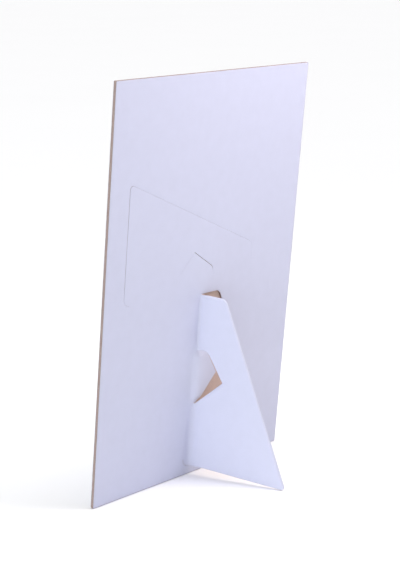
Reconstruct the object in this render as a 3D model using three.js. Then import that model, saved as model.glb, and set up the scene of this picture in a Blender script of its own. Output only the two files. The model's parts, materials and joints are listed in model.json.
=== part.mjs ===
// Easel-backed photo mount: a stiff white-lined board that stands on a strut die-cut out of its
// own back ply. It has two struts, one to stand the board upright and one to stand it sideways.
// The upright strut is swung out here and the sideways strut lies flat in its opening.
//
// Millimetres, +Z up. The picture side faces -Y and the struts open towards +Y. The origin is on
// the table, under the middle of the standing mount's bounding box.
//
// Board frame, before the mount leans: x across, z up the board from its bottom edge, and y out
// of the board, with y = 0 on the back face.
//
// Die frame, the same for both struts: s runs along the fold from the strut's foot, and w runs
// across the strut, away from the fold.

import * as THREE from 'three';

// ---- driving dimensions -------------------------------------------------------------------
const BOARD_WIDTH = 203.2; // an 8 inch print
const BOARD_HEIGHT = 304.8; // a 12 inch print

const LINING = 0.15; // white lining paper
const BACK_PLY = 1.3; // greyboard that the struts are cut from
const GLUE_FILM = 0.1;
const FRONT_PLY = 0.8; // greyboard behind the picture
const BOND_GAP = 0.05; // between laminated layers
const TRIM_INSET = 0.1; // the lining ends this far inside the greyboard's cut edge

const KERF = 0.3; // width of the die's cut line
const OPEN_ANGLE = THREE.MathUtils.degToRad(76.4); // upright strut, swung out from flat

const STRUT_LENGTH = 134.6; // along the fold
const FOOT_REACH = 80.8; // from the fold to the foot's tip
const END_REACH = 20.8; // from the fold to the outer corner of the narrow end
const TIP_RADIUS = 2.5;
const END_RADIUS = 6.5;
const HEEL_RADIUS = 6; // where the foot's cut curls up into the fold

const TAB_START = 50.2; // along the fold: the lock tab's pointed lower root
const TAB_END = 91.8; // along the fold: its blunt upper root
const TAB_ROOT = 1.8; // from the fold to where the pointed side's cut begins
const TAB_POINT_S = 70.4;
const TAB_POINT_REACH = 22.4;
const TAB_POINT_RADIUS = 0.8;
const TAB_SHOULDER_REACH = 8.5;
const TAB_SHOULDER_RADIUS = 5;

const LOWER_CREASE = 6.5; // half the width that the soft fold bends over, below the lock tab
const UPPER_CREASE = 3; // and above it
const CREASE_PRESS = 0.55; // share of the ply's thickness that the creasing rule presses away
const CREASE_STEPS = 12;
const ARC_STEPS = 8;

const FOOT_MARGIN = 6.9; // upright strut's foot, above the board's bottom edge
const UPRIGHT_FOLD_X = 2.2; // upright fold, from the middle of the board
const SIDEWAYS_MARGIN = 19.1; // sideways strut's foot, from the board's long edge

// ---- what follows from them ---------------------------------------------------------------
const STRUT_THICKNESS = LINING + BOND_GAP + BACK_PLY;
const BACK_PLY_TOP = -LINING - BOND_GAP;
const GLUE_FILM_TOP = BACK_PLY_TOP - BACK_PLY - BOND_GAP;
const FRONT_PLY_TOP = GLUE_FILM_TOP - GLUE_FILM - BOND_GAP;
const FRONT_LINING_TOP = FRONT_PLY_TOP - FRONT_PLY - BOND_GAP;
const GLUE_SETBACK = 2; // the glue stays this far from the strut, so that the strut swings free

// ---- materials ----------------------------------------------------------------------------
const liningPaper = new THREE.MeshStandardMaterial({ color: 0xe4e6f1, roughness: 0.8 });
const greyboard = new THREE.MeshStandardMaterial({ color: 0xb39d88, roughness: 0.95 });
const dryGlue = new THREE.MeshStandardMaterial({ color: 0xd9d4c2, roughness: 0.45 });

// ---- outlines -----------------------------------------------------------------------------
const point = (x, y) => new THREE.Vector2(x, y);

// Points of the arc of this radius that rounds one corner of an outline.
function roundCorner(before, corner, after, radius) {
  const back = before.clone().sub(corner).normalize();
  const on = after.clone().sub(corner).normalize();
  const half = back.angleTo(on) / 2;
  const bisector = back.clone().add(on).normalize();
  const centre = corner.clone().addScaledVector(bisector, radius / Math.sin(half));
  const first = corner.clone().addScaledVector(back, radius / Math.tan(half));
  const last = corner.clone().addScaledVector(on, radius / Math.tan(half));
  const turn = first.clone().sub(centre).angleTo(last.clone().sub(centre));
  const side = Math.sign(first.clone().sub(centre).cross(last.clone().sub(centre)));
  return Array.from({ length: ARC_STEPS + 1 }, (_, i) =>
    first.clone().rotateAround(centre, (side * turn * i) / ARC_STEPS));
}

// A closed outline from corners [s, w, radius], where a missing radius leaves a sharp corner.
function outline(corners) {
  const sharp = corners.map(([s, w]) => point(s, w));
  return corners.flatMap(([, , radius], i) => {
    const before = sharp.at(i - 1);
    const after = sharp[(i + 1) % sharp.length];
    return radius ? roundCorner(before, sharp[i], after, radius) : [sharp[i]];
  });
}

// The same outline with every edge moved outwards by the distance, or inwards if negative.
function grow(points, distance) {
  const side = Math.sign(THREE.ShapeUtils.area(points));
  const outward = (from, to) => {
    const along = to.clone().sub(from).normalize();
    return point(along.y * side, -along.x * side);
  };
  return points.map((here, i) => {
    const first = outward(points.at(i - 1), here);
    const second = outward(here, points[(i + 1) % points.length]);
    const reach = distance / (1 + first.dot(second));
    return here.clone().addScaledVector(first.add(second), reach);
  });
}

const TIP = [0, FOOT_REACH, TIP_RADIUS];
const NARROW_CORNER = [STRUT_LENGTH, END_REACH, END_RADIUS];
const SHOULDER = [TAB_END, TAB_SHOULDER_REACH, TAB_SHOULDER_RADIUS];
const TAB_POINT = [TAB_POINT_S, TAB_POINT_REACH, TAB_POINT_RADIUS];

// Where the cut along the tab's pointed side is, at this distance from the fold.
const TAB_SLOPE = (TAB_POINT_S - TAB_START) / (TAB_POINT_REACH - TAB_ROOT);
const tabCut = (w) => TAB_START + Math.max(0, w - TAB_ROOT) * TAB_SLOPE;

// The hole left in the back ply: strut and creases, less the lock tab that stays in the board.
const openingOutline = outline([
  [0, -LOWER_CREASE, HEEL_RADIUS],
  TIP,
  NARROW_CORNER,
  [STRUT_LENGTH, -UPPER_CREASE],
  [TAB_END, -UPPER_CREASE],
  SHOULDER,
  TAB_POINT,
  [TAB_START, TAB_ROOT],
  [TAB_START, -LOWER_CREASE],
]);

// The stiff part of the strut, outside the creases and round the lock tab.
const strutOutline = outline([
  [0, LOWER_CREASE],
  TIP,
  NARROW_CORNER,
  [STRUT_LENGTH, UPPER_CREASE],
  [TAB_END, UPPER_CREASE],
  SHOULDER,
  TAB_POINT,
  [tabCut(LOWER_CREASE), LOWER_CREASE],
]);

// The window in the glue film takes in the whole strut with its tab.
const glueWindowOutline = outline([
  [0, -LOWER_CREASE, HEEL_RADIUS],
  TIP,
  NARROW_CORNER,
  [STRUT_LENGTH, -LOWER_CREASE],
]);

// ---- where each die sits on the board -----------------------------------------------------
const uprightDie = {
  foot: new THREE.Vector3(UPRIGHT_FOLD_X, 0, FOOT_MARGIN),
  alongFold: new THREE.Vector3(0, 0, 1),
  acrossStrut: new THREE.Vector3(-1, 0, 0),
  mirrored: false,
};
const sidewaysDie = {
  foot: new THREE.Vector3(BOARD_WIDTH / 2 - SIDEWAYS_MARGIN, 0, BOARD_HEIGHT / 2),
  alongFold: new THREE.Vector3(-1, 0, 0),
  acrossStrut: new THREE.Vector3(0, 0, 1),
  mirrored: true,
};

// A point of the die frame, standing out of the back face by the height, in the board frame.
function placeOnBoard(die, s, w, height) {
  const placed = die.foot.clone();
  placed.addScaledVector(die.alongFold, s);
  placed.addScaledVector(die.acrossStrut, w);
  placed.y += height;
  return placed;
}

function outlineOnBoard(die, points) {
  return points.map(({ x: s, y: w }) => {
    const placed = placeOnBoard(die, s, w, 0);
    return point(placed.x, placed.z);
  });
}

// ---- solids -------------------------------------------------------------------------------
// A flat sheet in the board frame, from its top face down towards the picture side.
function sheet(points, holes, top, thickness) {
  const shape = new THREE.Shape(points);
  shape.holes = holes.map((hole) => new THREE.Path(hole));
  const geometry = new THREE.ExtrudeGeometry(shape, { depth: thickness, bevelEnabled: false });
  return geometry.rotateX(Math.PI / 2).translate(0, top, 0);
}

function boardRectangle(inset) {
  const halfWidth = BOARD_WIDTH / 2 - inset;
  const low = inset;
  const high = BOARD_HEIGHT - inset;
  return [
    point(-halfWidth, low),
    point(halfWidth, low),
    point(halfWidth, high),
    point(-halfWidth, high),
  ];
}

// One stretch of crease: a strip of the lined back ply, pressed thin by the creasing rule, that
// turns about the fold from the board's plane to the strut's. It runs from start(w) to end(w).
function creaseStrip(die, reach, angle, start, end) {
  const half = reach - KERF / 2;
  const positions = [];
  for (let i = 0; i <= CREASE_STEPS; i += 1) {
    const w = half * ((2 * i) / CREASE_STEPS - 1);
    const turn = angle * THREE.MathUtils.smoothstep(w, -reach, reach);
    const bottom = STRUT_THICKNESS * (1 - CREASE_PRESS * (1 - (w / reach) ** 2));
    for (const depth of [0, bottom]) {
      const across = w * Math.cos(turn) + depth * Math.sin(turn);
      const height = w * Math.sin(turn) - depth * Math.cos(turn);
      for (const s of [start(w) + KERF / 2, end(w) - KERF / 2]) {
        positions.push(...placeOnBoard(die, s, across, height).toArray());
      }
    }
  }
  return closedStrip(positions, die.mirrored);
}

// Skins a row of four-cornered ribs: [near top, far top, near bottom, far bottom] each.
function closedStrip(positions, mirrored) {
  const triangles = [];
  const quad = (a, b, c, d) => triangles.push([a, b, c], [a, c, d]);
  for (let i = 0; i < CREASE_STEPS; i += 1) {
    const [a, b, c, d] = [0, 1, 2, 3].map((corner) => 4 * i + corner);
    quad(a, a + 4, b + 4, b);
    quad(c, d, d + 4, c + 4);
    quad(a, c, c + 4, a + 4);
    quad(b, b + 4, d + 4, d);
  }
  const last = 4 * CREASE_STEPS;
  quad(0, 1, 3, 2);
  quad(last, last + 2, last + 3, last + 1);
  const turned = mirrored ? triangles.map(([a, b, c]) => [a, c, b]) : triangles;
  const geometry = new THREE.BufferGeometry();
  geometry.setAttribute('position', new THREE.Float32BufferAttribute(positions, 3));
  geometry.setIndex(turned.flat());
  geometry.computeVertexNormals();
  return geometry;
}

// ---- sub-parts ----------------------------------------------------------------------------
function named(name, geometry, material) {
  const mesh = new THREE.Mesh(geometry, material);
  mesh.name = name;
  return mesh;
}

// The five bonded layers, from the picture side to the back.
function makeBoard() {
  const openings = [uprightDie, sidewaysDie].map((die) =>
    outlineOnBoard(die, grow(openingOutline, KERF / 2)));
  const glueWindows = [uprightDie, sidewaysDie].map((die) =>
    outlineOnBoard(die, grow(glueWindowOutline, GLUE_SETBACK)));
  const whole = boardRectangle(0);
  const trimmed = boardRectangle(TRIM_INSET);
  return [
    named('front_lining', sheet(trimmed, [], FRONT_LINING_TOP, LINING), liningPaper),
    named('front_ply', sheet(whole, [], FRONT_PLY_TOP, FRONT_PLY), greyboard),
    named('glue_film', sheet(trimmed, glueWindows, GLUE_FILM_TOP, GLUE_FILM), dryGlue),
    named('back_ply', sheet(whole, openings, BACK_PLY_TOP, BACK_PLY), greyboard),
    named('back_lining', sheet(trimmed, openings, 0, LINING), liningPaper),
  ];
}

// The two stretches of crease that a strut hangs on, below and above its lock tab.
function makeCreases(prefix, die, angle) {
  const heel = (w) => {
    const inward = Math.max(0, HEEL_RADIUS - LOWER_CREASE - w);
    return HEEL_RADIUS - Math.sqrt(HEEL_RADIUS ** 2 - inward ** 2);
  };
  const lower = creaseStrip(die, LOWER_CREASE, angle, heel, tabCut);
  const upper = creaseStrip(die, UPPER_CREASE, angle, () => TAB_END, () => STRUT_LENGTH);
  return [
    named(`${prefix}_crease_lower`, lower, liningPaper),
    named(`${prefix}_crease_upper`, upper, liningPaper),
  ];
}

// A strut's ply and its lining, turned out of the board about the fold.
function makeStrut(prefix, die, angle) {
  const flat = outlineOnBoard(die, grow(strutOutline, -KERF / 2));
  const layers = [
    named(`${prefix}_strut_ply`, sheet(flat, [], BACK_PLY_TOP, BACK_PLY), greyboard),
    named(`${prefix}_strut_lining`, sheet(flat, [], 0, LINING), liningPaper),
  ];
  const hinge = new THREE.Group();
  for (const layer of layers) {
    layer.geometry.translate(-die.foot.x, 0, -die.foot.z);
    hinge.add(layer);
  }
  hinge.position.copy(die.foot);
  hinge.rotateOnAxis(die.alongFold, die.mirrored ? angle : -angle);
  return hinge;
}

// ---- the standing mount -------------------------------------------------------------------
// The mount leans back until the open strut's foot touches the table that the board stands on.
const LEAN = Math.min(...grow(strutOutline, -KERF / 2).map(({ x: s, y: w }) =>
  Math.atan2(FOOT_MARGIN + s, w * Math.sin(OPEN_ANGLE))));

const leaningMount = new THREE.Group();
leaningMount.add(...makeBoard());
leaningMount.add(...makeCreases('upright', uprightDie, OPEN_ANGLE));
leaningMount.add(...makeCreases('sideways', sidewaysDie, 0));
leaningMount.add(makeStrut('upright', uprightDie, OPEN_ANGLE));
leaningMount.add(makeStrut('sideways', sidewaysDie, 0));
leaningMount.rotation.x = -LEAN;

// The origin goes under the middle of the standing mount.
const bounds = new THREE.Box3().setFromObject(leaningMount, true);
leaningMount.position.set(0, -(bounds.min.y + bounds.max.y) / 2, -bounds.min.z);

const photoMount = new THREE.Group();
photoMount.add(leaningMount);

export default photoMount;
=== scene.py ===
# %% [markdown]
# # A display mount that stands on its own strut
# This is a stiff display board for an 8 by 12 inch print, seen from behind. Two plies of
# greyboard are glued together and lined with white paper. The back ply is die-cut with two
# struts: one stands the board upright, and is swung out here, and one would stand it sideways.
#
# The CAD model is the fixed frame. We load it first, keep its box, and build every visible piece
# in the same metres, so that nothing has to be fitted afterwards.

# %% Load the frame
import json
import math

import bmesh
import bpy
import numpy as np
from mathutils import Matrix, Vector, noise
from mathutils.geometry import delaunay_2d_cdt


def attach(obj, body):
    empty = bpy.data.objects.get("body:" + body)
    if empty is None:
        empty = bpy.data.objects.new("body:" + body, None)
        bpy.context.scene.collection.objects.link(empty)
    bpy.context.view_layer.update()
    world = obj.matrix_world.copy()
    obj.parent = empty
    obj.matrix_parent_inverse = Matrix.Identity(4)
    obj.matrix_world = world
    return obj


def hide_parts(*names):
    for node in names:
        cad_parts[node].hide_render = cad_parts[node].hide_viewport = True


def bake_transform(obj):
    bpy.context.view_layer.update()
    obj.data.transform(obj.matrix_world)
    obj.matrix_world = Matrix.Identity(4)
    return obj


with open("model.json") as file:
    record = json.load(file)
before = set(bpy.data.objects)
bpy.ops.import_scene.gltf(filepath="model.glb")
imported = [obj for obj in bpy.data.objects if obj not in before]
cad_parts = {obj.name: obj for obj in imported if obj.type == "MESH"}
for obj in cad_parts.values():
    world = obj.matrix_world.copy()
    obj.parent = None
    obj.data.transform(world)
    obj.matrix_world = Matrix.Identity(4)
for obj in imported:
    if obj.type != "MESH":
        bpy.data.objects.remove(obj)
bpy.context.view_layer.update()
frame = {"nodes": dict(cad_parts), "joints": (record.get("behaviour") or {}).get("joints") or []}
print("CAD nodes:", sorted(frame["nodes"]))

# %% [markdown]
# ## The camera
# The camera comes first, because every later choice is judged through it. It stands behind the
# board and to its left, a little above the middle, with a long lens, so the board's upright edges
# stay almost parallel. A point to look at, two angles and a distance say all of that, and they are
# easier to read than a rotation.

# %% Camera
CAMERA_AZIMUTH = math.radians(131.88)
CAMERA_ELEVATION = math.radians(12.89)
CAMERA_DISTANCE = 1.1158
CAMERA_TARGET = Vector((0.00387, -0.02349, 0.1483))
CAMERA_LENS = 96.97

camera_back = Vector((
    math.sin(CAMERA_AZIMUTH) * math.cos(CAMERA_ELEVATION),
    -math.cos(CAMERA_AZIMUTH) * math.cos(CAMERA_ELEVATION),
    math.sin(CAMERA_ELEVATION),
))
camera = bpy.data.objects.new("camera", bpy.data.cameras.new("camera"))
camera.data.lens = CAMERA_LENS
camera.location = CAMERA_TARGET + camera_back * CAMERA_DISTANCE
camera.rotation_mode = "QUATERNION"
camera.rotation_quaternion = (-camera_back).to_track_quat("-Z", "Y")
bpy.context.scene.collection.objects.link(camera)
bpy.context.scene.camera = camera
print("camera at", [round(x, 3) for x in camera.location])

# %% [markdown]
# ## The board's own directions
# The mount leans back on its strut, so world axes are awkward to draw in. We work in the flat
# board instead: x across, z up from the bottom edge, and h out of the back face, in millimetres.
# The upright strut's fold line in the frame says where that flat board lies, so its directions come
# from it.

# %% Directions and points of the flat board
MM = 0.001
joints = {joint["name"]: joint for joint in frame["joints"]}
ACROSS = Vector((1, 0, 0))
UP = -Vector(joints["upright_fold"]["axis"]).normalized()
OUT = UP.cross(ACROSS)
FOOT_MARGIN = 6.9
UPRIGHT_FOLD_X = 2.2
board_origin = (
    Vector(joints["upright_fold"]["pos_m"]) - UP * FOOT_MARGIN * MM - ACROSS * UPRIGHT_FOLD_X * MM
)


def to_world(points):
    """Points (x, h, z) of the board in millimetres, as world points in metres."""
    axes = np.array([ACROSS, OUT, UP])
    return np.array(board_origin) + (points * MM) @ axes


print("the board's up direction", [round(x, 4) for x in UP], "and out", [round(x, 4) for x in OUT])

# %% [markdown]
# ## One die, struck twice
# Both struts come from the same cutting die, turned a quarter turn and flipped for the second
# strike. So there is one set of numbers, in the die's own coordinates: s along the fold from the
# strut's foot, and w across the strut, away from the fold.

# %% Die dimensions in millimetres
BOARD_WIDTH = 203.2
BOARD_HEIGHT = 304.8
STRUT_LENGTH = 134.6
FOOT_REACH = 80.8
END_REACH = 20.8
TIP_RADIUS = 2.5
END_RADIUS = 6.5
HEEL_RADIUS = 6.0
TAB_START = 50.2
TAB_END = 91.8
TAB_ROOT = 1.8
TAB_POINT = (70.4, 22.4)
TAB_POINT_RADIUS = 0.8
TAB_SHOULDER = 8.5
TAB_SHOULDER_RADIUS = 5.0
LOWER_CREASE = 6.5
UPPER_CREASE = 3.0
SIDEWAYS_MARGIN = 19.1
OPEN_ANGLE = math.radians(-joints["upright_fold"]["range_deg"][0])


class Strike:
    """Where one strike of the die lies on the board, and how far its strut is swung out at rest."""

    def __init__(self, foot, along, across, angle):
        self.foot, self.along, self.across = (np.array(v, float) for v in (foot, along, across))
        self.angle = angle

    def on_board(self, die_points):
        """(s, w) as (x, z) of the flat board."""
        die_points = np.asarray(die_points, float)
        return self.foot + die_points[:, :1] * self.along + die_points[:, 1:] * self.across

    def on_die(self, board_points):
        """(x, z) of the flat board as (s, w)."""
        offset = np.asarray(board_points, float) - self.foot
        return np.stack([offset @ self.along, offset @ self.across], axis=1)


upright = Strike((UPRIGHT_FOLD_X, FOOT_MARGIN), (0, 1), (-1, 0), OPEN_ANGLE)
sideways = Strike(
    (BOARD_WIDTH / 2 - SIDEWAYS_MARGIN, BOARD_HEIGHT / 2), (-1, 0), (0, 1), 0.0
)
print("the upright strut is open by", round(math.degrees(upright.angle), 1), "degrees")

# %% [markdown]
# ## Outlines
# A steel rule cuts board with hardly any loss, so a cut shows only as a hairline, and some
# hairlines open more than others. Each corner of an outline therefore carries its radius and the
# width of the cut that follows it. A width of zero marks a seam, where paper and board carry on
# into the crease without a cut.

# %% Widths of the cuts in millimetres
FOOT_CUT = 0.24
OUTER_CUT = 0.06
END_CUT = 0.03
TAB_BLUNT_CUT = 0.34
TAB_POINTED_CUT = 0.06
SEAM = 0.0
print("the widest cut is", TAB_BLUNT_CUT, "mm")

# %% [markdown]
# ## Corners and arcs
# An edge moves sideways by half its cut, outwards for the hole and inwards for the strut, and the
# sharp corners are found again where the moved edges meet. Only then is each corner rounded, so a
# wide cut and a narrow one can meet in the same arc. Blender's bevel could round a corner too, but
# it knows nothing of cuts and seams.

# %% Edges moved by half a cut, and rounded corners
ARC_STEPS = 8


def cross(a, b):
    """The turn from a to b, as one number."""
    return a[..., 0] * b[..., 1] - a[..., 1] * b[..., 0]


def edge_normals(points):
    """Each edge's direction and its outward normal, for a closed outline."""
    along = np.roll(points, -1, axis=0) - points
    along /= np.linalg.norm(along, axis=1)[:, None]
    turning = np.sign(np.sum(cross(points, np.roll(points, -1, axis=0))))
    return along, np.stack([along[:, 1], -along[:, 0]], axis=1) * turning


def moved_corners(corners, side):
    """The sharp corners after each edge moved by half its cut: side 1 outwards, -1 inwards."""
    points = np.array([c[:2] for c in corners], float)
    along, outward = edge_normals(points)
    cuts = np.array([c[3] for c in corners])
    starts = points + outward * (cuts / 2 * side)[:, None]
    moved = []
    for i, start in enumerate(starts):
        turn = cross(along[i - 1], along[i])
        if abs(turn) > 1e-6:
            start = starts[i - 1] + along[i - 1] * cross(start - starts[i - 1], along[i]) / turn
        moved.append(start)
    return np.array(moved)


def rounded(before, corner, after, radius):
    """Points of the arc that rounds one corner."""
    if not radius:
        return [corner]
    back, on = (v / np.linalg.norm(v) for v in (before - corner, after - corner))
    half = math.acos(np.clip(back @ on, -1, 1)) / 2
    first = corner + back * radius / math.tan(half)
    last = corner + on * radius / math.tan(half)
    centre = corner + (back + on) / np.linalg.norm(back + on) * radius / math.sin(half)
    turn = (math.pi - 2 * half) / ARC_STEPS
    turn *= np.sign(cross(first - centre, last - centre))
    arm = first - centre
    return [
        centre + np.array([
            arm[0] * math.cos(turn * i) - arm[1] * math.sin(turn * i),
            arm[0] * math.sin(turn * i) + arm[1] * math.cos(turn * i),
        ])
        for i in range(ARC_STEPS + 1)
    ]


# %% [markdown]
# ## From corners to a closed outline
# The long stretches between arcs are divided into short steps, so that the triangles beside them
# come out even. Each point also carries a flag that says whether it lies on a seam.

# %% The outline of some corners
EDGE_STEP = 2.5


def outline(corners, side):
    """Closed outline and a seam flag per point, from corners (s, w, radius, cut that follows)."""
    sharp = moved_corners(corners, side)
    arcs = [
        rounded(sharp[i - 1], sharp[i], sharp[(i + 1) % len(sharp)], corners[i][2])
        for i in range(len(sharp))
    ]
    points, seams = [], []
    for i, arc in enumerate(arcs):
        seam_before, seam_after = corners[i - 1][3] == SEAM, corners[i][3] == SEAM
        flags = [False] * len(arc)
        flags[0] |= seam_before
        flags[-1] |= seam_after
        points += arc
        seams += flags
        start, end = arc[-1], arcs[(i + 1) % len(arcs)][0]
        pieces = max(1, round(np.linalg.norm(end - start) / EDGE_STEP))
        for step in range(1, pieces):
            points.append(start + (end - start) * step / pieces)
            seams.append(seam_after)
    return np.array(points), np.array(seams)


# %% [markdown]
# ## The hole, the strut and the board
# The hole and the strut share their cuts, but not the crease: the hole ends on the board's side of
# it and the strut on the other. The lock tab is a tongue that both of them leave out. The board's
# own corners are worn round by a hair.

# %% Corners of the hole and of the strut
BOARD_CORNER_RADIUS = 0.7
TAB_SLOPE = (TAB_POINT[0] - TAB_START) / (TAB_POINT[1] - TAB_ROOT)


def tab_cut(w):
    """Where the cut along the tab's pointed side is, at this distance from the fold."""
    return TAB_START + np.maximum(0, w - TAB_ROOT) * TAB_SLOPE


OPENING = [
    (0, -LOWER_CREASE, HEEL_RADIUS, FOOT_CUT),
    (0, FOOT_REACH, TIP_RADIUS, OUTER_CUT),
    (STRUT_LENGTH, END_REACH, END_RADIUS, END_CUT),
    (STRUT_LENGTH, UPPER_CREASE, 0, SEAM),
    (STRUT_LENGTH, -UPPER_CREASE, 0, SEAM),
    (TAB_END, -UPPER_CREASE, 0, SEAM),
    (TAB_END, UPPER_CREASE, 0, TAB_POINTED_CUT),
    (TAB_END, TAB_SHOULDER, TAB_SHOULDER_RADIUS, TAB_BLUNT_CUT),
    (*TAB_POINT, TAB_POINT_RADIUS, TAB_POINTED_CUT),
    (TAB_START, TAB_ROOT, 0, SEAM),
    (TAB_START, -LOWER_CREASE, 0, SEAM),
]
STRUT = [
    (0, LOWER_CREASE, 0, FOOT_CUT),
    (0, FOOT_REACH, TIP_RADIUS, OUTER_CUT),
    (STRUT_LENGTH, END_REACH, END_RADIUS, END_CUT),
    (STRUT_LENGTH, UPPER_CREASE, 0, SEAM),
    (TAB_END, UPPER_CREASE, 0, TAB_POINTED_CUT),
    (TAB_END, TAB_SHOULDER, TAB_SHOULDER_RADIUS, TAB_BLUNT_CUT),
    (*TAB_POINT, TAB_POINT_RADIUS, TAB_POINTED_CUT),
    (float(tab_cut(LOWER_CREASE)), LOWER_CREASE, 0, SEAM),
]


def board_rectangle(inset):
    """The board's own outline, this far inside its cut edge. It has no seams."""
    right, low, high = BOARD_WIDTH / 2 - inset, inset, BOARD_HEIGHT - inset
    corners = [(-right, low), (right, low), (right, high), (-right, high)]
    points, _ = outline([(*corner, BOARD_CORNER_RADIUS, SEAM) for corner in corners], 1)
    return points, np.zeros(len(points), bool)


openings = []
for strike in (upright, sideways):
    hole, seams = outline(OPENING, 1)
    openings.append((strike.on_board(hole), seams))
print("points round each opening:", [len(points) for points, _ in openings])

# %% [markdown]
# ## Finishes
# Only two things show on this mount: white lining paper and the greyboard that it covers. Both
# are fibre, so neither has a clean highlight, and their colour drifts slightly over a few
# millimetres. Everything is procedural, drawn in the flat board's own millimetres, so the numbers
# below are real sizes. A pattern that is finer than the render can show is drawn coarser, and the
# comment beside it says so.

# %% Helpers for materials
def srgb(hex_colour):
    """An sRGB hex colour as the linear colour that a shader wants."""
    channels = [int(hex_colour[i:i + 2], 16) / 255 for i in (1, 3, 5)]
    return (*[c / 12.92 if c <= 0.04045 else ((c + 0.055) / 1.055) ** 2.4 for c in channels], 1)


def add_node(tree, kind, inputs=None, **settings):
    """Adds one node. inputs gives values or links, by the socket's name or number."""
    made = tree.nodes.new(kind)
    for name, value in settings.items():
        setattr(made, name, value)
    for socket, value in (inputs or {}).items():
        if isinstance(value, bpy.types.NodeSocket):
            tree.links.new(value, made.inputs[socket])
        else:
            made.inputs[socket].default_value = value
    return made


def new_material(name):
    """An empty material, its node tree, and its surface shader."""
    material = bpy.data.materials.new(name)
    material.use_nodes = True
    tree = material.node_tree
    return material, tree, tree.nodes["Principled BSDF"]


def per_mm(size):
    """The Scale of a noise whose blobs are this many millimetres across."""
    return 1 / size


# %% [markdown]
# ## Lining paper
# The board is covered in a wood-free white lining paper of about 120 grams, machine-finished and
# glued down wet. It is faintly cool, because white papers are blued, and it is matt with a trace
# of sheen. It could be one white diffuse, but real paper shows clouds of uneven fibre, a fine
# tooth, and a greyer line wherever it has been cut and handled.

# %% White lining paper
PAPER_LIGHT = "#d0d3e8"
PAPER_SHADE = "#cacde1"
PAPER_WORN = "#b9b7c4"
CLOUD_MM = 9
TOOTH_MM = 0.9  # the real tooth is about 0.1 mm and would vanish in the render
COCKLE_MM = 42
WEAR_MM = 1.3

lining_paper, tree, shader = new_material("white lining paper")
flat_place = add_node(tree, "ShaderNodeAttribute", attribute_name="flat_mm").outputs["Vector"]
clouds = add_node(tree, "ShaderNodeTexNoise", {
    "Vector": flat_place, "Scale": per_mm(CLOUD_MM), "Detail": 4.0, "Roughness": 0.55,
}).outputs["Fac"]
tooth = add_node(tree, "ShaderNodeTexNoise", {
    "Vector": flat_place, "Scale": per_mm(TOOTH_MM), "Detail": 3.0, "Roughness": 0.6,
}).outputs["Fac"]
cockle = add_node(tree, "ShaderNodeTexNoise", {
    "Vector": flat_place, "Scale": per_mm(COCKLE_MM), "Detail": 1.0,
}).outputs["Fac"]
from_cut = add_node(tree, "ShaderNodeAttribute", attribute_name="from_cut_mm").outputs["Fac"]
near_cut = add_node(tree, "ShaderNodeMapRange", {
    "Value": from_cut, "From Min": 0.05, "From Max": WEAR_MM, "To Min": 0.75, "To Max": 0.0,
}).outputs["Result"]
wear = add_node(tree, "ShaderNodeMath", {0: near_cut, 1: tooth}, operation="MULTIPLY").outputs[0]
fresh = add_node(tree, "ShaderNodeMix", {
    "Factor": clouds, 6: srgb(PAPER_LIGHT), 7: srgb(PAPER_SHADE),
}, data_type="RGBA").outputs[2]
colour = add_node(tree, "ShaderNodeMix", {
    "Factor": wear, 6: fresh, 7: srgb(PAPER_WORN),
}, data_type="RGBA").outputs[2]
tree.links.new(colour, shader.inputs["Base Color"])
matt = add_node(tree, "ShaderNodeMapRange", {
    "Value": tooth, "From Min": 0.3, "From Max": 0.7, "To Min": 0.58, "To Max": 0.72,
}).outputs["Result"]
tree.links.new(matt, shader.inputs["Roughness"])
waves = add_node(tree, "ShaderNodeBump", {
    "Height": cockle, "Distance": 0.00035, "Strength": 0.6,
}).outputs["Normal"]
bumps = add_node(tree, "ShaderNodeBump", {
    "Height": tooth, "Distance": 0.00002, "Strength": 0.8, "Normal": waves,
}).outputs["Normal"]
tree.links.new(bumps, shader.inputs["Normal"])
shader.inputs["IOR"].default_value = 1.5
shader.inputs["Specular IOR Level"].default_value = 0.35
print("made", lining_paper.name)

# %% [markdown]
# ## Greyboard
# Greyboard is pressed waste paper, tan to grey, made of many thin layers of pulp. Its face is
# mottled with flecks of darker and paler fibre. Its cut edge shows the layers as fine strata,
# roughened where the rule has dragged fibres out, and its cut walls carry painted shade: a darker
# brown for the shade that falls in them. A wood material would give the strata but also grain
# along the face, so we build it from flecks, clouds, and bands that follow the depth alone.

# %% Unlined greyboard
BOARD_TAN = "#d5bcb0"
BOARD_GREY = "#bfaba4"
FLECK_DARK = "#8a7468"
FLECK_PALE = "#dccdc0"
# painted shade: the cut walls are coloured this darker brown for the shade they sit in
CUT_WALL_SHADE = "#867a7c"
FLECK_MM = 0.8  # real flecks are 0.2 to 1 mm
MOTTLE_MM = 7
STRATUM_MM = 0.17
WALL_MM = 0.5  # frayed walls stay within this distance of the cut

greyboard, tree, shader = new_material("unlined greyboard")
flat_place = add_node(tree, "ShaderNodeAttribute", attribute_name="flat_mm").outputs["Vector"]
mottle = add_node(tree, "ShaderNodeTexNoise", {
    "Vector": flat_place, "Scale": per_mm(MOTTLE_MM), "Detail": 5.0, "Roughness": 0.6,
}).outputs["Fac"]
flecks = add_node(tree, "ShaderNodeTexNoise", {
    "Vector": flat_place, "Scale": per_mm(FLECK_MM), "Detail": 2.0, "Roughness": 0.7,
}).outputs["Fac"]
layered = add_node(tree, "ShaderNodeMapping", {
    "Vector": flat_place, "Scale": (0.08, 1 / STRATUM_MM, 0.08),
}).outputs["Vector"]
strata = add_node(tree, "ShaderNodeTexNoise", {
    "Vector": layered, "Scale": 1.0, "Detail": 2.0, "Roughness": 0.5,
}).outputs["Fac"]
mixed = add_node(tree, "ShaderNodeMix", {
    "Factor": mottle, 6: srgb(BOARD_TAN), 7: srgb(BOARD_GREY),
}, data_type="RGBA").outputs[2]
darker = add_node(tree, "ShaderNodeMapRange", {
    "Value": flecks, "From Min": 0.6, "From Max": 0.74, "To Min": 0.0, "To Max": 0.55,
}).outputs["Result"]
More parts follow.
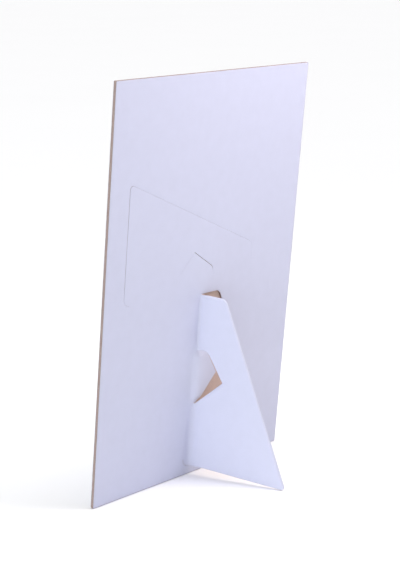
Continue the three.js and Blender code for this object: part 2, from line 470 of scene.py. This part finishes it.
paler = add_node(tree, "ShaderNodeMapRange", {
    "Value": flecks, "From Min": 0.4, "From Max": 0.28, "To Min": 0.0, "To Max": 0.5,
}).outputs["Result"]
wall_place = add_node(tree, "ShaderNodeAttribute", attribute_name="from_cut_mm").outputs["Fac"]
on_wall = add_node(tree, "ShaderNodeMapRange", {
    "Value": wall_place, "From Min": 0.2, "From Max": WALL_MM, "To Min": 0.7, "To Max": 0.0,
}).outputs["Result"]
layers = add_node(tree, "ShaderNodeMapRange", {
    "Value": strata, "From Min": 0.52, "From Max": 0.72, "To Min": 0.0, "To Max": 0.8,
}).outputs["Result"]
banded = add_node(tree, "ShaderNodeMath", {0: layers, 1: on_wall}, operation="MULTIPLY").outputs[0]
# the first mix paints shade onto the cut walls; the flecks and the strata are the board's own
for factor, tint in (
    (on_wall, CUT_WALL_SHADE), (darker, FLECK_DARK), (paler, FLECK_PALE), (banded, FLECK_DARK),
):
    mixed = add_node(tree, "ShaderNodeMix", {
        "Factor": factor, 6: mixed, 7: srgb(tint),
    }, data_type="RGBA").outputs[2]
tree.links.new(mixed, shader.inputs["Base Color"])
steps = add_node(tree, "ShaderNodeBump", {
    "Height": strata, "Distance": 0.00006, "Strength": 0.7,
}).outputs["Normal"]
rough = add_node(tree, "ShaderNodeBump", {
    "Height": flecks, "Distance": 0.00005, "Strength": 0.8, "Normal": steps,
}).outputs["Normal"]
tree.links.new(rough, shader.inputs["Normal"])
dull = add_node(tree, "ShaderNodeMapRange", {
    "Value": mottle, "To Min": 0.86, "To Max": 0.97,
}).outputs["Result"]
tree.links.new(dull, shader.inputs["Roughness"])
shader.inputs["Specular IOR Level"].default_value = 0.15
print("made", greyboard.name)

# %% [markdown]
# ## Dried glue
# The plies are joined with a roller coat of dextrin glue, a thin cream-coloured film. It stays
# inside, but its edge is there to be seen wherever a gap is opened. The CAD node's shape is
# right, so it stays and only takes this finish: matt cream with roller stipple.

# %% Dextrin glue on the CAD node
GLUE_CREAM = "#d9d4c2"
GLUE_THIN = "#b8a890"
STIPPLE_MM = 1.5
M_TO_MM = 1000

dextrin_glue, tree, shader = new_material("dried dextrin glue")
place = add_node(tree, "ShaderNodeTexCoord").outputs["Object"]
stipple = add_node(tree, "ShaderNodeTexNoise", {
    "Vector": place, "Scale": per_mm(STIPPLE_MM) * M_TO_MM, "Detail": 3.0,
}).outputs["Fac"]
film = add_node(tree, "ShaderNodeMix", {
    "Factor": stipple, 6: srgb(GLUE_CREAM), 7: srgb(GLUE_THIN),
}, data_type="RGBA").outputs[2]
tree.links.new(film, shader.inputs["Base Color"])
stippled = add_node(tree, "ShaderNodeBump", {
    "Height": stipple, "Distance": 0.00004,
}).outputs["Normal"]
tree.links.new(stippled, shader.inputs["Normal"])
shader.inputs["Roughness"].default_value = 0.5
frame["nodes"]["glue_film"].data.materials.clear()
frame["nodes"]["glue_film"].data.materials.append(dextrin_glue)
print("made", dextrin_glue.name)

# %% [markdown]
# ## Measuring on a flat sheet
# Three small questions come up again and again on a flat outline: how far is a point from the
# nearest edge, is it inside, and where does the outline go when it moves inwards? Blender can
# answer them on a mesh, but numpy answers them for thousands of points at once.

# %% Distance, inside, and offset
def segments_of(loops):
    """Start and end points of all edges of some closed outlines."""
    starts = np.concatenate(loops)
    ends = np.concatenate([np.roll(loop, -1, axis=0) for loop in loops])
    return starts, ends


def distance_to(points, starts, ends):
    """Distance from each point to the nearest of some edges."""
    along = ends - starts
    share = np.einsum("pek,ek->pe", points[:, None] - starts, along) / np.sum(along**2, axis=1)
    nearest = starts + np.clip(share, 0, 1)[..., None] * along
    return np.min(np.linalg.norm(points[:, None] - nearest, axis=2), axis=1)


def in_material(points, loops):
    """True for each point inside the first outline and outside the others."""
    starts, ends = segments_of(loops)
    x, z = points[:, :1], points[:, 1:]
    spans = (starts[:, 1] > z) != (ends[:, 1] > z)
    rise = np.where(ends[:, 1] == starts[:, 1], 1, ends[:, 1] - starts[:, 1])
    crossing = starts[:, 0] + (z - starts[:, 1]) / rise * (ends[:, 0] - starts[:, 0])
    return np.sum(spans & (x < crossing), axis=1) % 2 == 1


def offset_loop(points, distance):
    """A closed outline with every edge moved outwards by the distance."""
    _, after = edge_normals(points)
    before = np.roll(after, 1, axis=0)
    reach = distance / (1 + np.sum(before * after, axis=1))
    return points + (before + after) * reach[:, None]


middle = np.array([[0, BOARD_HEIGHT / 2]])
from_rim = distance_to(middle, *segments_of([board_rectangle(0)[0]]))[0]
print("the middle of the board is", round(float(from_rim), 1), "mm from its rim")

# %% [markdown]
# ## Filling a sheet with faces
# A sheet with holes could be one big polygon, but then nothing inside it could bend or carry
# colour. So we scatter points over it and let Delaunay's method join them into even triangles:
# a few rows along the cuts, where the paper is drawn down, and a coarse grid elsewhere.

# %% Points inside a sheet, and the triangles between them
GRID = 6.0
GRID_CLEARANCE = 1.5
BRICK_ROW = 0.87
EDGE_ROWS = (0.9, 2.2, 4.4)
ROW_CROWDING = 0.95
PATCH_CROWDING = 0.6


def grid_points(low, high, spacing):
    """A brick-bond grid over a rectangle."""
    rows = np.arange(low[1] + spacing / 2, high[1], spacing * BRICK_ROW)
    columns = np.arange(low[0] + spacing / 2, high[0], spacing)
    return np.array([(x + spacing / 2 * (i % 2), z) for i, z in enumerate(rows) for x in columns])


def inner_points(loops, fine=None):
    """Points to scatter inside a sheet. fine is a close patch: low corner, high corner, spacing."""
    starts, ends = segments_of(loops)
    found = []
    for row in EDGE_ROWS:
        near = np.concatenate(
            [offset_loop(loop, row if i else -row) for i, loop in enumerate(loops)]
        )
        found.append(near[distance_to(near, starts, ends) > ROW_CROWDING * row])
    coarse = grid_points(loops[0].min(0), loops[0].max(0), GRID)
    coarse = coarse[distance_to(coarse, starts, ends) > EDGE_ROWS[-1] + GRID_CLEARANCE]
    found.append(coarse)
    found = np.concatenate(found)
    if fine:
        low, high, spacing = fine
        patch = grid_points(low, high, spacing)
        patch = patch[distance_to(patch, starts, ends) > PATCH_CROWDING * spacing]
        clear = np.any((found < low) | (found > high), axis=1)
        found = np.concatenate([found[clear], patch])
    return found[in_material(found, loops)]


def triangles_between(loops, inside):
    """Triangles that fill the sheet: indices run through the outlines and then the inner points."""
    points = np.concatenate([*loops, inside])
    edges, first = [], 0
    for loop in loops:
        count = len(loop)
        edges += [(first + i, first + (i + 1) % count) for i in range(count)]
        first += count
    joined = delaunay_2d_cdt([Vector(p) for p in points], edges, [], 1, 1e-7)
    names = [origin[0] for origin in joined[3]]
    faces = np.array([[names[i] for i in face] for face in joined[2]])
    return faces[in_material(points[faces].mean(axis=1), loops)]


# %% [markdown]
# ## How far a point is from a cut
# Handling shows first along the cuts that are open: the board's rim and the upright strut's
# hole. The paper greys there and its fibres lift. Greyboard shows its layers on the wall of every
# cut, open or not. So every piece gets its distance from the nearest such cut as an attribute,
# measured on the flat board, and the wear runs on across a fold without a step. Its place on the
# flat board goes along too, in millimetres: grain that is laid out flat can't jump at a bend.

# %% Cuts, and the function that makes a mesh object
def cut_edges(holes):
    """Start and end points of the board's rim and of the cut part of some openings."""
    found = [segments_of([board_rectangle(0)[0]])]
    for hole, seams in holes:
        cut = ~(seams & np.roll(seams, -1))
        found.append((hole[cut], np.roll(hole, -1, axis=0)[cut]))
    return [np.concatenate(ends) for ends in zip(*found)]


open_cuts, all_cuts = cut_edges(openings[:1]), cut_edges(openings)
SHARP_ANGLE = math.radians(38)


def make_piece(name, flat, rest, faces, material):
    """A mesh object from flat board points (x, h, z), their places at rest, and faces."""
    mesh = bpy.data.meshes.new(name)
    mesh.from_pydata(to_world(rest).tolist(), [], [list(map(int, face)) for face in faces])
    mesh.attributes.new("flat_mm", "FLOAT_VECTOR", "POINT").data.foreach_set("vector", flat.ravel())
    from_cut = distance_to(flat[:, ::2], *(all_cuts if material is greyboard else open_cuts))
    mesh.attributes.new("from_cut_mm", "FLOAT", "POINT").data.foreach_set("value", from_cut)
    mesh.materials.append(material)
    work = bmesh.new()
    work.from_mesh(mesh)
    bmesh.ops.recalc_face_normals(work, faces=work.faces)
    work.to_mesh(mesh)
    work.free()
    mesh.shade_smooth()
    mesh.set_sharp_from_angle(angle=SHARP_ANGLE)
    made = bpy.data.objects.new(name, mesh)
    bpy.context.scene.collection.objects.link(made)
    print(f"{name}: {len(mesh.vertices)} points, {len(mesh.polygons)} faces")
    return made


# %% [markdown]
# ## Swinging a strut, and laying a sheet in plies
# Everything is drawn flat first, as the factory makes it, and then swung about the fold. A plate
# is a closed sheet with a top, a bottom and a wall. Where a rule has cut it the rim is drawn down
# a little, as a blade drags paper, and the wall of a ply is frayed. At a seam it stays square, so
# that the crease can carry on from it.

# %% Swing and plate
def swung(flat, strike, turn):
    """Flat points swung about a strike's fold by an angle, which may differ between points."""
    s, w = strike.on_die(flat[:, ::2]).T
    h = flat[:, 1]
    across = w * np.cos(turn) - h * np.sin(turn)
    x, z = strike.on_board(np.stack([s, across], axis=1)).T
    return np.stack([x, w * np.sin(turn) + h * np.cos(turn), z], axis=1)


def plate(name, loops, top, profile, material, strike=None, fine=None, lift=None, fray=0.0):
    """A closed sheet from (outline, seams) loops, the first one outside. profile is the section
    of its rim, from top face to bottom face: (inset, drop) where cut, and the same at a seam."""
    rings = len(profile)
    sides = [1 if number else -1 for number in range(len(loops))]
    flat, starts, count = [], [], 0
    for side, (points, seams) in zip(sides, loops):
        starts.append(count)
        for row, ((cut_inset, cut_drop), (seam_inset, seam_drop)) in enumerate(profile):
            inset = np.where(seams, seam_inset, cut_inset)
            if fray and 0 < row < rings - 1 and cut_inset < 0.02:
                drag = [abs(noise.noise(Vector((*point, 3.7 * row)))) for point in points]
                inset = inset + np.where(seams, 0, drag) * fray
            ring = offset_loop(points, side * inset)
            h = top - np.where(seams, seam_drop, cut_drop)
            flat.append(np.stack([ring[:, 0], h, ring[:, 1]], axis=1))
        count += len(points) * rings
    face_inset, thickness = profile[0][0][0], profile[-1][0][1]
    inner_loops = [
        offset_loop(points, side * face_inset) for side, (points, _) in zip(sides, loops)
    ]
    inside = inner_points(inner_loops, fine)
    for height in (top, top - thickness):
        flat.append(np.stack([inside[:, 0], np.full(len(inside), height), inside[:, 1]], axis=1))
    flat = np.concatenate(flat)

    faces, top_names, bottom_names = [], [], []
    for start, (points, _) in zip(starts, loops):
        n = len(points)
        for r in range(rings - 1):
            for i in range(n):
                a, b = start + r * n + i, start + r * n + (i + 1) % n
                faces.append((a, b, b + n, a + n))
        top_names += range(start, start + n)
        bottom_names += range(start + (rings - 1) * n, start + rings * n)
    top_names += range(count, count + len(inside))
    bottom_names += range(count + len(inside), count + 2 * len(inside))
    triangles = triangles_between(inner_loops, inside)
    faces += np.array(top_names)[triangles].tolist()
    faces += np.array(bottom_names)[triangles].tolist()

    rest = flat.copy()
    if lift:
        rest[:, 1] += lift(flat)
    if strike:
        rest = swung(rest, strike, strike.angle)
    return make_piece(name, flat, rest, faces, material)


# %% [markdown]
# ## The lock tab
# The lock tab stays in the board, but the rule has pressed the fold line across its root as well.
# Swinging the strut out has pulled the tab up with it, so it stands a little proud of the board,
# and is highest just past the fold line. We could tilt it as a stiff flap, but board that has been
# pulled up bends over a few millimetres instead. So we lift the sheet by a smooth rise across the
# root. At both ends of the root the lift turns into the soft ridge that the creases keep.

# %% The lift
CREASE_SET = 0.12  # height of the soft ridge that a used fold keeps, as a share of its reach
TAB_LIFT = 2.2
LIFT_START = -5.0
LIFT_CREST = 2.0
TIP_SAG = 0.3
ROOT_FADE = 6.0
ON_THE_CUT = 0.1  # points on the cut itself still belong to the tab
PATCH_REACH = 12
PATCH_STEP = 1.2


def smooth(value, start, end):
    """0 before start, 1 after end, and a smooth rise between."""
    t = np.clip((value - start) / (end - start), 0, 1)
    return t * t * (3 - 2 * t)


def kept_ridge(w, reach):
    """Height of the ridge that a used fold keeps, at this distance from the fold."""
    return CREASE_SET * reach * np.cos(np.pi / 2 * np.clip(w / reach, -1, 1)) ** 2


def tab_lift(flat):
    """How far each point of the board's back sheet stands proud, because of the pulled-up tab."""
    s, w = upright.on_die(flat[:, ::2]).T
    on_tab = (s > TAB_START - ON_THE_CUT) & (s < TAB_END + ON_THE_CUT)
    on_tab &= w < TAB_POINT[1] + ON_THE_CUT
    past_start = smooth(s, TAB_START, TAB_START + ROOT_FADE)
    past_end = smooth(s, TAB_END - ROOT_FADE, TAB_END)
    free = smooth(w, LIFT_CREST, LIFT_CREST + ROOT_FADE)
    body = past_start * (1 - past_end)
    body += (1 - body) * free
    sag = 1 - TIP_SAG * smooth(w, 2 * LIFT_CREST, TAB_POINT[1])
    lifted = TAB_LIFT * body * smooth(w, LIFT_START, LIFT_CREST) * sag
    lifted += (1 - past_start) * (1 - free) * kept_ridge(w, LOWER_CREASE)
    lifted += past_end * (1 - free) * kept_ridge(w, UPPER_CREASE)
    return np.where(on_tab, lifted, 0)


tab_corners = upright.on_board([(TAB_START - 1, PATCH_REACH), (TAB_END + 1, -PATCH_REACH)])
tab_patch = (tab_corners.min(0), tab_corners.max(0), PATCH_STEP)
print("the tab stands", TAB_LIFT, "mm proud")

# %% [markdown]
# ## Rims
# The rule presses the paper down as it cuts, so its rim is softly rounded. Where a strut has been
# pushed out, its paper stays rolled over the edge of the ply, and the ply is rounded beneath it.
# A bevel would round every edge alike, so each rim has its own section instead: pairs of how far
# in from the cut, and how far down from the face.

# %% Sections of the rims in millimetres
PAPER = 0.19
FACE_INSET = 0.6
ROLLED_PAPER = 0.13
ROLLED_TUCK = 0.14
ROLLED = [(1.7, 0.02), (1.2, 0.09), (0.75, 0.23), (0.36, 0.46), (0.1, 0.8), (0.0, 1.3)]
ROLLED_FACE_INSET = 2.1
PRESSED = [(0.5, 0.01), (0.3, 0.04), (0.12, 0.09), (0.0, 0.15)]
BLUNTED = [(0.25, 0.02), (0.08, 0.07)]
WALL_TOP = 0.14
WALL_BELOW_ROLL = 0.1
WALL_ROWS = 6


def square_seam(profile, thickness, face_inset=FACE_INSET):
    """Adds both faces to a cut profile, and to each row its place at a seam, which is square."""
    cut = [(face_inset, 0.0), *profile, (face_inset, thickness)]
    insets = [inset for inset, _ in profile]
    rim = insets.index(min(insets))
    steps = len(profile) - 1 - rim
    seam = [(face_inset, 0.0), *((inset, 0.0) for inset, _ in profile[:rim])]
    seam += [(profile[rim][0], thickness * step / steps) for step in range(steps + 1)]
    return list(zip(cut, [*seam, (face_inset, thickness)]))


def paper_profile(rolled):
    """Lining paper: rolled down over the cut edge of the ply, or only pressed by the rule."""
    if not rolled:
        return square_seam([*PRESSED, (0.0, PAPER)], PAPER)
    depth = ROLLED[-1][1]
    under = [
        (inset + ROLLED_TUCK * drop / depth, min(depth, drop + PAPER * (1 - drop / depth)))
        for inset, drop in reversed(ROLLED)
    ]
    return square_seam([*ROLLED, *under], PAPER, ROLLED_FACE_INSET)


def ply_profile(thickness, rolled=False, rows=WALL_ROWS):
    """A ply's frayed wall. Where the paper is rolled over it, it is rounded behind the paper."""
    shoulder, behind, wall_top, face_inset = BLUNTED, 0.0, WALL_TOP, FACE_INSET
    if rolled:
        shoulder, behind = ROLLED[:-1], ROLLED_PAPER
        wall_top = shoulder[-1][1] + WALL_BELOW_ROLL
        face_inset = ROLLED_FACE_INSET + behind
    wall = [(behind + inset, drop) for inset, drop in shoulder]
    wall += [(behind, wall_top + (thickness - wall_top) * i / rows) for i in range(rows + 1)]
    made = square_seam(wall, thickness, face_inset)
    return [(cut, (max(0, seam[0] - behind), seam[1])) for cut, seam in made]


print("the strut's paper rolls over by", ROLLED[0][0], "mm, elsewhere it is pressed")

# %% [markdown]
# ## The board's layers
# From the back: lining paper, the back ply that both struts are cut from, the glue film of the
# frame, the front ply, and the front lining. The paper layers take the place of their CAD nodes
# because their rims are pressed by the die, and the plies because their walls are frayed.

# %% The board's layers
BACK_PLY_TOP = -0.2
BACK_PLY = 1.3
FRONT_PLY_TOP = -1.7
FRONT_PLY = 0.8
FRONT_WALL_ROWS = 4
FRONT_LINING_TOP = -2.55
FRONT_LINING = 0.15
PAPER_TRIM = 0.1
FRAY = 0.16

back_lining = plate(
    "back_lining_sheet", [board_rectangle(PAPER_TRIM), *openings], 0, paper_profile(False),
    lining_paper, fine=tab_patch, lift=tab_lift,
)
back_ply = plate(
    "back_ply_board", [board_rectangle(0), *openings], BACK_PLY_TOP, ply_profile(BACK_PLY),
    greyboard, fine=tab_patch, lift=tab_lift, fray=FRAY,
)
front_ply = plate(
    "front_ply_board", [board_rectangle(0)], FRONT_PLY_TOP,
    ply_profile(FRONT_PLY, rows=FRONT_WALL_ROWS), greyboard, fray=FRAY,
)
front_lining = plate(
    "front_lining_sheet", [board_rectangle(PAPER_TRIM)], FRONT_LINING_TOP,
    square_seam([(0.0, 0.0), (0.0, FRONT_LINING)], FRONT_LINING), lining_paper,
)
for piece, node, slot in (
    (back_lining, "back_lining", "lining_paper"),
    (back_ply, "back_ply", "greyboard"),
    (front_ply, "front_ply", "greyboard"),
    (front_lining, "front_lining", "lining_paper"),
):
    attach(piece, "board")
    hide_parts(node)

# %% [markdown]
# ## The struts
# Each strut is the matching cut-out: the same two layers, cut by the other side of the same rule.
# The upright strut has been pushed out, so its paper shows as it left the die, rolled over the
# cut edge. The sideways strut has never been opened, so its paper still lies tight in the hole.

# %% Strut layers
for prefix, strike, rolled in (("upright", upright, True), ("sideways", sideways, False)):
    blank, seams = outline(STRUT, -1)
    loop = [(strike.on_board(blank), seams)]
    paper = plate(f"{prefix}_strut_paper", loop, 0, paper_profile(rolled), lining_paper, strike)
    board = plate(
        f"{prefix}_strut_board", loop, BACK_PLY_TOP,
        ply_profile(BACK_PLY, rolled), greyboard, strike, fray=FRAY,
    )
    for piece, node, slot in ((paper, "lining", "lining_paper"), (board, "ply", "greyboard")):
        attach(piece, f"{prefix}_strut")
        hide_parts(f"{prefix}_strut_{node}")

# %% [markdown]
# ## The creases
# A strut hangs on a strip of lined board that the creasing rule has pressed thin. Each point of
# the strip takes a share of the fold from where it lies at rest, rising smoothly across the crease.
# We want the strip to lie flat when the strut is pushed home, but for the soft ridge that a used
# fold keeps. So we solve for the shape at rest that gives each point the very share that laid it
# there. Near the tab and at the top end the board's side is held by uncut paper, and there the
# fold is sharper.

# %% Shape of a crease at rest
STRUT_THICKNESS = 1.5
CREASE_PRESS = 0.55
CREASE_COLUMNS = 24
CREASE_ROWS = 48
TIGHT_REACH = 1.2
TIGHTEN_OVER = 5.0
SHARE_HALVINGS = 30


def fold_share(flat, strike, reach):
    """The share of the fold that a smooth rise across the crease gives each flat point once it lies
    where it should.
    """
    end = np.array([math.cos(strike.angle), math.sin(strike.angle)]) * reach
    start = np.array([-reach, 0.0])
    low, high = np.zeros(len(flat)), np.ones(len(flat))
    for _ in range(SHARE_HALVINGS):
        share = (low + high) / 2
        placed = swung(flat, strike, share * strike.angle)
        w = strike.on_die(placed[:, ::2])[:, 1]
        along = (w - start[0]) * (end - start)[0] + placed[:, 1] * end[1]
        along /= np.sum((end - start) ** 2)
        more = smooth(along, 0, 1) > share
        low, high = np.where(more, share, low), np.where(more, high, share)
    return (low + high) / 2


def crease_layer(name, strike, reach, start, end, tight_ends, depths, material):
    """One layer of a crease, from start(w) to end(w). depths(w) gives its top and bottom."""
    w = np.linspace(-reach, reach, CREASE_COLUMNS + 1)
    share = np.linspace(0, 1, CREASE_ROWS + 1)[:, None]
    s = start(w) + share * (end(w) - start(w))
    flat = []
    for depth in depths(w):
        placed = strike.on_board(np.stack([s.ravel(), np.tile(w, CREASE_ROWS + 1)], axis=1))
        top_end = 1 - smooth(s.ravel(), STRUT_LENGTH - TIGHTEN_OVER, STRUT_LENGTH)
        kept = np.tile(kept_ridge(w, reach), CREASE_ROWS + 1) * top_end * (strike.angle > 0)
        h = kept - np.tile(depth, CREASE_ROWS + 1)
        flat.append(np.stack([placed[:, 0], h, placed[:, 1]], axis=1))
    flat = np.concatenate(flat)
    die = strike.on_die(flat[:, ::2])
    soft = swung(flat, strike, fold_share(flat, strike, reach) * strike.angle)
    tight = swung(flat, strike, smooth(die[:, 1], -TIGHT_REACH, TIGHT_REACH) * strike.angle)
    held = np.zeros(len(flat))
    for place in tight_ends:
        held = np.maximum(held, 1 - smooth(np.abs(die[:, 0] - place), 0, TIGHTEN_OVER))
    rest = soft + (tight - soft) * held[:, None]

    columns, rows = CREASE_COLUMNS + 1, CREASE_ROWS + 1
    under = columns * rows
    grid = np.arange(under).reshape(rows, columns)
    faces = []
    for i in range(rows - 1):
        for j in range(columns - 1):
            a, b, c, d = grid[i, j], grid[i, j + 1], grid[i + 1, j + 1], grid[i + 1, j]
            faces += [(a, b, c, d), (a + under, b + under, c + under, d + under)]
    around = [*grid[0], *grid[1:, -1], *grid[-1, -2::-1], *grid[-2:0:-1, 0]]
    for a, b in zip(around, around[1:] + around[:1]):
        faces.append((a, b, b + under, a + under))
    return make_piece(name, flat, rest, faces, material)


# %% [markdown]
# ## The four creases
# Each fold has two stretches, below and above its lock tab, and each stretch two layers: the paper
# and the pressed ply. The lower one ends in a small curl at the strut's heel, where the foot's cut
# turns up into the fold, and runs slantwise along the tab's pointed side.

# %% Crease pieces
def heel(w):
    """Where the foot's cut curls up into the fold."""
    inward = np.maximum(0, HEEL_RADIUS - LOWER_CREASE - w)
    return HEEL_RADIUS - np.sqrt(HEEL_RADIUS**2 - inward**2)


def paper_depths(w):
    return np.zeros_like(w), np.full_like(w, PAPER)


def board_depths(reach):
    """The pressed ply: thinnest on the fold line."""
    def depths(w):
        bottom = STRUT_THICKNESS * (1 - CREASE_PRESS * (1 - (w / reach) ** 2))
        return np.full_like(w, -BACK_PLY_TOP), bottom
    return depths


for prefix, strike in (("upright", upright), ("sideways", sideways)):
    stretches = (
        ("lower", LOWER_CREASE, heel, tab_cut, [TAB_START]),
        ("upper", UPPER_CREASE, lambda w: np.full_like(w, TAB_END),
         lambda w: np.full_like(w, STRUT_LENGTH), [TAB_END, STRUT_LENGTH]),
    )
    for stretch, reach, start, end, tight_ends in stretches:
        ends = np.array([(0, -reach), (0, reach)], float)
        x, z = strike.on_board(ends).T
        flat_ends = np.stack([x, np.zeros(2), z], axis=1)
        blend_start, blend_end = to_world(swung(flat_ends, strike, np.array([0, strike.angle])))
        paper = crease_layer(
            f"{prefix}_crease_{stretch}_paper", strike, reach, start, end, tight_ends, paper_depths,
            lining_paper,
        )
        board = crease_layer(
            f"{prefix}_crease_{stretch}_board", strike, reach, start, end, tight_ends,
            board_depths(reach), greyboard,
        )
        for piece, slot in ((paper, "lining_paper"), (board, "greyboard")):
            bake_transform(piece)
        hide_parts(f"{prefix}_crease_{stretch}")

# %% [markdown]
# ## The floor
# A plain pale floor, large enough to reach the horizon from any side. It lies a hair below the
# mount, so that the two never share a plane.

# %% Floor
FLOOR_HALF = 40.0
FLOOR_DROP = 0.0002
floor_white, tree, shader = new_material("matt white studio floor")
floor_place = add_node(tree, "ShaderNodeTexCoord").outputs["Object"]
floor_clouds = add_node(tree, "ShaderNodeTexNoise", {
    "Vector": floor_place, "Scale": 3.0, "Detail": 3.0,
}).outputs["Fac"]
floor_colour = add_node(tree, "ShaderNodeMix", {
    "Factor": floor_clouds, 6: srgb("#fbfbfc"), 7: srgb("#f9f9fa"),
}, data_type="RGBA").outputs[2]
tree.links.new(floor_colour, shader.inputs["Base Color"])
shader.inputs["Roughness"].default_value = 0.9
shader.inputs["Specular IOR Level"].default_value = 0.1
floor_mesh = bpy.data.meshes.new("studio_floor")
floor_corners = [(-1, -1), (1, -1), (1, 1), (-1, 1)]
floor_mesh.from_pydata(
    [(x * FLOOR_HALF, y * FLOOR_HALF, -FLOOR_DROP) for x, y in floor_corners], [], [(0, 1, 2, 3)],
)
floor_mesh.materials.append(floor_white)
floor = bpy.data.objects.new("studio_floor", floor_mesh)
bpy.context.scene.collection.objects.link(floor)
print("floor laid", FLOOR_DROP / MM, "mm below the mount")

# %% [markdown]
# ## The light
# Plain soft light. Two wide panels overhead keep the floor white and, with the grey tent round
# them, fill every shadow. A cool softbox far off on the camera's left lights the strut's face and
# only grazes the board, which sets the two apart. Two small warm ones hang close to the board on
# the right, so that it brightens towards its top right corner.

# %% Lights
TENT_STRENGTH = 0.3
OVERHEAD_SPREAD = math.radians(40)
world = bpy.data.worlds.new("grey tent")
world.use_nodes = True
world.node_tree.nodes["Background"].inputs["Color"].default_value = (1, 1, 1, 1)
world.node_tree.nodes["Background"].inputs["Strength"].default_value = TENT_STRENGTH
bpy.context.scene.world = world


def add_light(light, place, aim):
    """Puts a light at place, facing aim."""
    made = bpy.data.objects.new(light.name, light)
    made.location = place
    made.rotation_mode = "QUATERNION"
    made.rotation_quaternion = (Vector(aim) - Vector(place)).to_track_quat("-Z", "Y")
    made.visible_camera = False
    bpy.context.scene.collection.objects.link(made)
    return made


def panel(name, place, strength):
    """A wide, far-off panel: a sun with a big disc, shining towards the origin."""
    light = bpy.data.lights.new(name, "SUN")
    light.angle = OVERHEAD_SPREAD
    light.energy = strength
    return add_light(light, place, (0, 0, 0))


def softbox(name, place, aim, size, power, tint):
    """A square area light."""
    light = bpy.data.lights.new(name, "AREA")
    light.color = srgb(tint)[:3]
    light.size = size
    light.energy = power
    return add_light(light, place, aim)


COOL = "#fafeff"
WARM = "#fff4f9"

panel("overhead panel", (0, 0, 2), 1.7)
panel("right panel", (-1, 0.6, 2), 0.7)
softbox("left softbox", (3.0, 0.2, 0.55), (0, 0, 0.12), 0.8, 34.0, COOL)
softbox("right softbox", (-0.15, 0.25, 0.5), (-0.08, 0, 0.25), 0.2, 0.4, WARM)
softbox("high softbox", (-0.1, 0.2, 0.6), (-0.05, 0, 0.3), 0.2, 0.75, WARM)
bpy.context.scene.view_settings.view_transform = "Standard"
